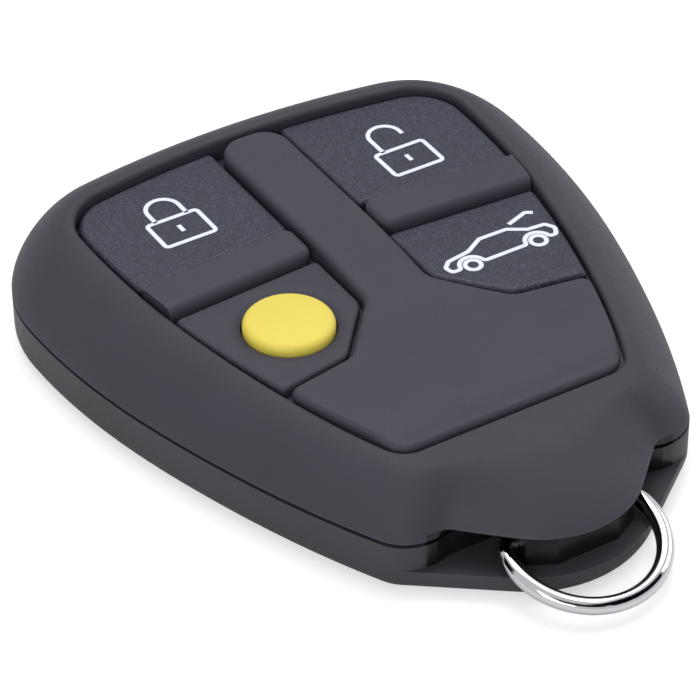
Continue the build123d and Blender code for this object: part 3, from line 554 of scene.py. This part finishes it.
def makeFloor():
    half = floorSet["size"] / 2
    mesh = bpy.data.meshes.new("floor")
    mesh.from_pydata([(-half, -half, 0), (half, -half, 0), (half, half, 0), (-half, half, 0)], [], [(0, 1, 2, 3)])
    floor = bpy.data.objects.new("floor", mesh)
    bpy.context.scene.collection.objects.link(floor)
    material = bpy.data.materials.new("paleFloor")
    material.use_nodes = True
    tree = material.node_tree
    tree.nodes.clear()
    seen = node(tree, "ShaderNodeLightPath").outputs["Is Camera Ray"]
    matte = node(tree, "ShaderNodeBsdfDiffuse")
    link(tree, mix(tree, "FLOAT", seen, floorSet["colour"], floorSet["seenColour"]), matte.inputs["Color"])
    glow = node(tree, "ShaderNodeEmission")
    link(tree, calc(tree, "MULTIPLY", seen, floorSet["glow"]), glow.inputs["Strength"])
    both = node(tree, "ShaderNodeAddShader")
    link(tree, matte.outputs[0], both.inputs[0])
    link(tree, glow.outputs[0], both.inputs[1])
    out = node(tree, "ShaderNodeOutputMaterial")
    link(tree, both.outputs[0], out.inputs["Surface"])
    mesh.materials.append(material)


makeFloor()

worldSet = {"fill": 0.76, "seen": 1.0}  # light on the object, and what the camera, gloss and glass see


def makeWorld():
    world = bpy.data.worlds.new("studio")
    bpy.context.scene.world = world
    world.use_nodes = True
    tree = world.node_tree
    tree.nodes.clear()
    path = node(tree, "ShaderNodeLightPath").outputs
    seen = calc(tree, "MAXIMUM", path["Is Camera Ray"], path["Is Glossy Ray"])
    seen = calc(tree, "MAXIMUM", seen, path["Is Transmission Ray"])
    back = node(tree, "ShaderNodeBackground", Color=(1, 1, 1, 1))
    link(tree, mix(tree, "FLOAT", seen, worldSet["fill"], worldSet["seen"]), back.inputs["Strength"])
    out = node(tree, "ShaderNodeOutputWorld")
    link(tree, back.outputs[0], out.inputs["Surface"])


makeWorld()

# Soft lamps aimed at the middle of the object, in metres and watts
lampSet = {
    "overhead": {"place": (0.06, 0.14, 0.42), "size": 0.34, "power": 1.5},
    "front": {"place": (-0.30, -0.28, 0.22), "size": 0.26, "power": 1.0},
    "side": {"place": (0.36, -0.02, 0.20), "size": 0.26, "power": 0.35},
}
for name, lamp in lampSet.items():
    data = bpy.data.lights.new(name, "AREA")
    data.size = lamp["size"]
    data.energy = lamp["power"]
    held = bpy.data.objects.new(name, data)
    bpy.context.scene.collection.objects.link(held)
    held.location = Vector(lamp["place"])
    held.rotation_euler = (bodyMiddle - held.location).to_track_quat("-Z", "Y").to_euler()

# Dark cards that only the gloss sees, so that the ring gets its dark bands, in metres from the object's middle
flagColour = (0.004, 0.004, 0.008, 1)
flagSet = {
    "frontFlag": {"toward": (-0.36, -0.68, 0.56), "distance": 0.45, "width": 0.44, "height": 0.20},
    "rightFlag": {"toward": (0.42, -0.62, 0.62), "distance": 0.35, "width": 0.34, "height": 0.24},
    "backFlag": {"toward": (0.30, 0.72, 0.50), "distance": 0.40, "width": 0.50, "height": 0.08},
    "leftFlag": {"toward": (-0.80, 0.30, 0.40), "distance": 0.40, "width": 0.12, "height": 0.34},
}
darkFlag = bpy.data.materials.new("darkFlag")
darkFlag.use_nodes = True
darkFlag.node_tree.nodes.clear()
darkGlow = node(darkFlag.node_tree, "ShaderNodeEmission", Color=flagColour)
darkOut = node(darkFlag.node_tree, "ShaderNodeOutputMaterial")
link(darkFlag.node_tree, darkGlow.outputs[0], darkOut.inputs["Surface"])
for name, flag in flagSet.items():
    toward = Vector(flag["toward"]).normalized()
    side = toward.cross(Vector((0, 0, 1))).normalized()
    rise = side.cross(toward)
    middle = bodyMiddle + toward * flag["distance"]
    corners = [middle + side * flag["width"] / 2 * x + rise * flag["height"] / 2 * y
               for x, y in ((-1, -1), (1, -1), (1, 1), (-1, 1))]
    mesh = bpy.data.meshes.new(name)
    mesh.from_pydata([tuple(corner) for corner in corners], [], [(0, 1, 2, 3)])
    mesh.materials.append(darkFlag)
    card = bpy.data.objects.new(name, mesh)
    bpy.context.scene.collection.objects.link(card)
    card.visible_camera = card.visible_diffuse = card.visible_shadow = card.visible_transmission = False

# The camera as solved from the photograph: its place and turn in metres, its lens and sensor in mm
cameraSet = {"place": (-0.12026, -0.18954, 0.17982), "back": (-0.408292, -0.674626, 0.614961),
             "right": (0.852603, -0.522511, -0.007137), "lens": 169.5, "sensor": 36, "nearest": 0.01}


def makeCamera():
    data = bpy.data.cameras.new("camera")
    data.lens = cameraSet["lens"]
    data.sensor_width = cameraSet["sensor"]
    data.clip_start = cameraSet["nearest"]
    held = bpy.data.objects.new("camera", data)
    bpy.context.scene.collection.objects.link(held)
    back = Vector(cameraSet["back"]).normalized()
    right = Vector(cameraSet["right"]).normalized()
    turn = Matrix((right, back.cross(right), back)).transposed()
    held.matrix_world = Matrix.Translation(Vector(cameraSet["place"])) @ turn.to_4x4()
    bpy.context.scene.camera = held


makeCamera()
bpy.context.scene.view_settings.view_transform = "Standard"
print("Floor, light and camera set")
